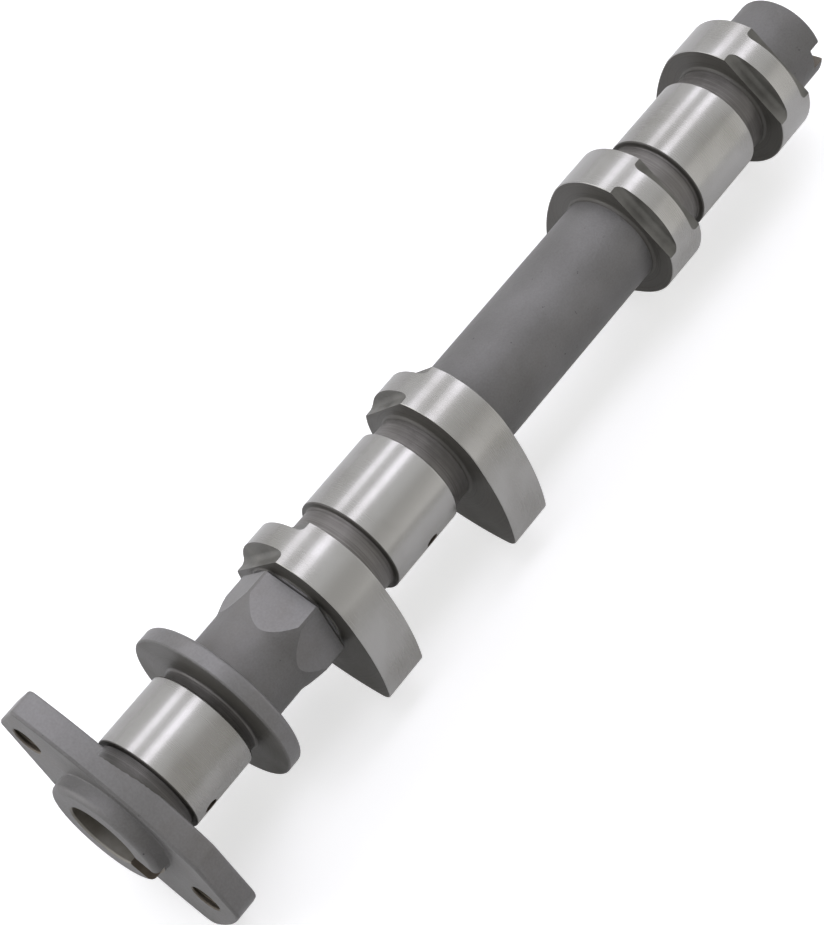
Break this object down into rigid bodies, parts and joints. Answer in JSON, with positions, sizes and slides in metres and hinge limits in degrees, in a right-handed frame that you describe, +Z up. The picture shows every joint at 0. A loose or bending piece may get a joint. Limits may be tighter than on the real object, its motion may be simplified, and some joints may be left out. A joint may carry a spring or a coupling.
{
  "type": "camshaft",
  "caption": "One-piece overhead camshaft for a twin: ground journals and lobes, a thrust disc, a spanner hexagon and a two-bolt sprocket flange with a register boss.",
  "frame": {"origin": "centre of the sprocket seat, the flange's front face, on the shaft's axis", "axes": "+X along the shaft from the sprocket flange to the slotted end, +Z up as the shaft lies at rest"},
  "size_m": [0.2094, 0.0506, 0.0392],
  "materials": {
    "camshaft": "ground journals and lobes, as cast elsewhere"
  },
  "bodies": {
    "root": {"camshaft": "camshaft"}
  },
  "joints": []
}
